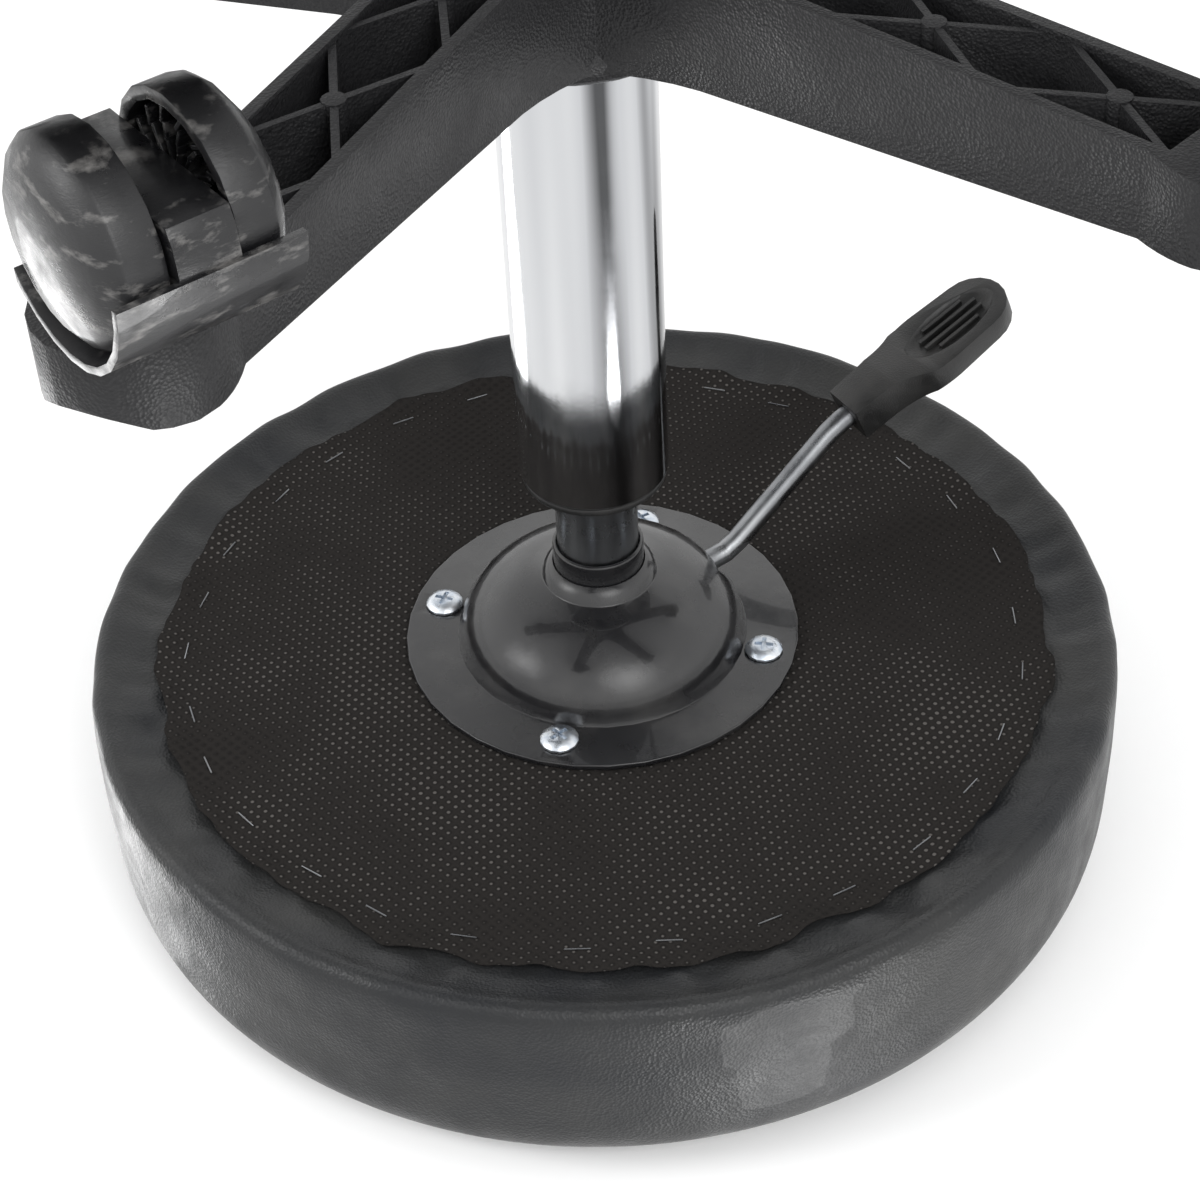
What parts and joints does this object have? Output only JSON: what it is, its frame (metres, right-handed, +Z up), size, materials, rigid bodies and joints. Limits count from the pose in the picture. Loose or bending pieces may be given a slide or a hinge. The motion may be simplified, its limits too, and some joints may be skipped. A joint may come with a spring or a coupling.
{
  "type": "swivel stool",
  "caption": "Round padded swivel stool on a gas lift with a side lever, mounted in a ribbed star base on twin-wheel swivel castors.",
  "frame": {"origin": "middle of the footprint at floor level, on the swivel axis", "axes": "+Z up along the swivel axis; the viewer in front of the stool looks along +Y"},
  "size_m": [0.4942, 0.5036, 0.425],
  "materials": {
    "black_paint": "gloss black",
    "black_plastic": "satin",
    "castor_plastic": "worn gloss",
    "chrome": "polished",
    "dust_cloth": "dotted non-woven",
    "foam": "open cell",
    "nylon": "leather grain",
    "plywood": "raw ply",
    "steel": "drawn",
    "vinyl": "grained vinyl",
    "zinc": "bright zinc"
  },
  "bodies": {
    "base": {"base_star": "nylon", "column_tube": "chrome", "guide_bushing": "black_plastic", "end_washer": "steel", "castor_sleeve_1": "zinc", "castor_sleeve_2": "zinc", "castor_sleeve_3": "zinc", "castor_sleeve_4": "zinc", "castor_sleeve_5": "zinc"},
    "piston": {"piston_rod": "steel", "piston_head": "black_plastic", "retaining_clip": "steel", "thrust_bearing": "steel", "bump_washer": "black_plastic"},
    "seat": {"gas_cylinder": "steel", "mounting_plate": "black_paint", "taper_collar": "black_paint", "fulcrum_lug_left": "black_paint", "fulcrum_lug_right": "black_paint", "fulcrum_pin": "zinc", "seat_board": "plywood", "seat_foam": "foam", "seat_cover": "vinyl", "dust_cloth": "dust_cloth", "plate_screw_1": "zinc", "plate_screw_2": "zinc", "plate_screw_3": "zinc", "plate_screw_4": "zinc", "tee_nut_1": "zinc", "tee_nut_2": "zinc", "tee_nut_3": "zinc", "tee_nut_4": "zinc"},
    "lever": {"lever_rod": "steel", "lever_handle": "black_plastic"},
    "valve": {"release_pin": "zinc"},
    "castor_1": {"castor_hood_1": "castor_plastic", "castor_stem_1": "zinc", "castor_axle_1": "steel"},
    "wheel_left_1": {"castor_wheel_left_1": "castor_plastic"},
    "wheel_right_1": {"castor_wheel_right_1": "castor_plastic"},
    "castor_2": {"castor_hood_2": "castor_plastic", "castor_stem_2": "zinc", "castor_axle_2": "steel"},
    "wheel_left_2": {"castor_wheel_left_2": "castor_plastic"},
    "wheel_right_2": {"castor_wheel_right_2": "castor_plastic"},
    "castor_3": {"castor_hood_3": "castor_plastic", "castor_stem_3": "zinc", "castor_axle_3": "steel"},
    "wheel_left_3": {"castor_wheel_left_3": "castor_plastic"},
    "wheel_right_3": {"castor_wheel_right_3": "castor_plastic"},
    "castor_4": {"castor_hood_4": "castor_plastic", "castor_stem_4": "zinc", "castor_axle_4": "steel"},
    "wheel_left_4": {"castor_wheel_left_4": "castor_plastic"},
    "wheel_right_4": {"castor_wheel_right_4": "castor_plastic"},
    "castor_5": {"castor_hood_5": "castor_plastic", "castor_stem_5": "zinc", "castor_axle_5": "steel"},
    "wheel_left_5": {"castor_wheel_left_5": "castor_plastic"},
    "wheel_right_5": {"castor_wheel_right_5": "castor_plastic"}
  },
  "joints": [
    {"name": "seat_swivel", "type": "hinge", "parent": "base", "child": "piston", "pos_m": [0, 0, 0.05], "axis": [0, 0, 1], "continuous": true},
    {"name": "height_slide", "type": "slide", "parent": "piston", "child": "seat", "axis": [0, 0, 1], "range_m": [0, 0.12]},
    {"name": "lever_pull", "type": "hinge", "parent": "seat", "child": "lever", "pos_m": [-0.02944, 0.017, 0.3375], "axis": [0.5, 0.866, 0], "range_deg": [0, 5], "stiffness_Nm_per_rad": 1.5, "springref_deg": -2.86},
    {"name": "valve_press", "type": "slide", "parent": "seat", "child": "valve", "axis": [0, 0, -1], "range_m": [0, 0.004]},
    {"name": "castor_swivel_1", "type": "hinge", "parent": "base", "child": "castor_1", "pos_m": [0.22303, 0.03652, 0.05], "axis": [0, 0, 1], "continuous": true},
    {"name": "wheel_spin_left_1", "type": "hinge", "parent": "castor_1", "child": "wheel_left_1", "pos_m": [0.20362, 0.03925, 0.025], "axis": [-0.1392, -0.9903, 0], "continuous": true},
    {"name": "wheel_spin_right_1", "type": "hinge", "parent": "castor_1", "child": "wheel_right_1", "pos_m": [0.20362, 0.03925, 0.025], "axis": [-0.1392, -0.9903, 0], "continuous": true},
    {"name": "castor_swivel_2", "type": "hinge", "parent": "base", "child": "castor_2", "pos_m": [0.03419, 0.2234, 0.05], "axis": [0, 0, 1], "continuous": true},
    {"name": "wheel_spin_left_2", "type": "hinge", "parent": "castor_2", "child": "wheel_left_2", "pos_m": [0.01466, 0.22511, 0.025], "axis": [-0.0872, -0.9962, 0], "continuous": true},
    {"name": "wheel_spin_right_2", "type": "hinge", "parent": "castor_2", "child": "wheel_right_2", "pos_m": [0.01466, 0.22511, 0.025], "axis": [-0.0872, -0.9962, 0], "continuous": true},
    {"name": "castor_swivel_3", "type": "hinge", "parent": "base", "child": "castor_3", "pos_m": [-0.2019, 0.10155, 0.05], "axis": [0, 0, 1], "continuous": true},
    {"name": "wheel_spin_left_3", "type": "hinge", "parent": "castor_3", "child": "wheel_left_3", "pos_m": [-0.2215, 0.10155, 0.025], "axis": [0, -1, 0], "continuous": true},
    {"name": "wheel_spin_right_3", "type": "hinge", "parent": "castor_3", "child": "wheel_right_3", "pos_m": [-0.2215, 0.10155, 0.025], "axis": [0, -1, 0], "continuous": true},
    {"name": "castor_swivel_4", "type": "hinge", "parent": "base", "child": "castor_4", "pos_m": [-0.15897, -0.16064, 0.05], "axis": [0, 0, 1], "continuous": true},
    {"name": "wheel_spin_left_4", "type": "hinge", "parent": "castor_4", "child": "wheel_left_4", "pos_m": [-0.17831, -0.16381, 0.025], "axis": [0.1616, -0.9869, 0], "continuous": true},
    {"name": "wheel_spin_right_4", "type": "hinge", "parent": "castor_4", "child": "wheel_right_4", "pos_m": [-0.17831, -0.16381, 0.025], "axis": [0.1616, -0.9869, 0], "continuous": true},
    {"name": "castor_swivel_5", "type": "hinge", "parent": "base", "child": "castor_5", "pos_m": [0.10365, -0.20083, 0.05], "axis": [0, 0, 1], "continuous": true},
    {"name": "wheel_spin_left_5", "type": "hinge", "parent": "castor_5", "child": "wheel_left_5", "pos_m": [0.09222, -0.21674, 0.025], "axis": [0.8121, -0.5835, 0], "continuous": true},
    {"name": "wheel_spin_right_5", "type": "hinge", "parent": "castor_5", "child": "wheel_right_5", "pos_m": [0.09222, -0.21674, 0.025], "axis": [0.8121, -0.5835, 0], "continuous": true}
  ],
  "couplings": [
    {"joint": "valve_press", "follows": "lever_pull", "m_per_rad": 0.034}
  ]
}
